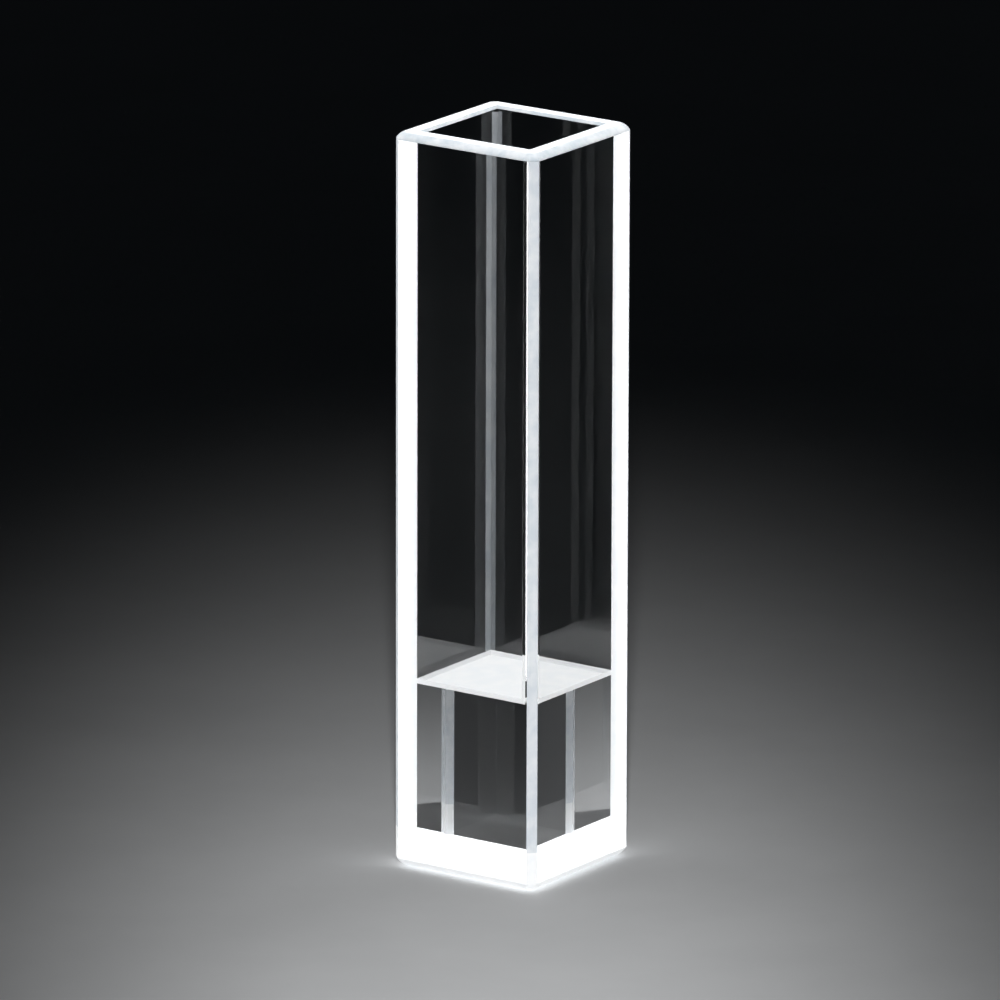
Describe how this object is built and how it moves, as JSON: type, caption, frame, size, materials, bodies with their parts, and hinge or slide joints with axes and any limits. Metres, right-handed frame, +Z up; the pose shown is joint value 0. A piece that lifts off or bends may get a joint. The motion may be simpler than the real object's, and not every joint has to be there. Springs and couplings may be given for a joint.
{
  "type": "cuvette",
  "caption": "Square glass cuvette: a tall open sample chamber with clear walls and a ground floor, above a solid glass base block, for holding liquid in a light beam.",
  "frame": {"origin": "centre of the underside", "axes": "+Z up the chamber towards the open mouth; +X and +Y square to two clear faces"},
  "size_m": [0.0126, 0.0126, 0.055],
  "materials": {
    "glass": "clear polished faces, with the rim, the bevels, the chamber floor and the underside ground white"
  },
  "bodies": {
    "root": {"cuvette": "glass"}
  },
  "joints": []
}
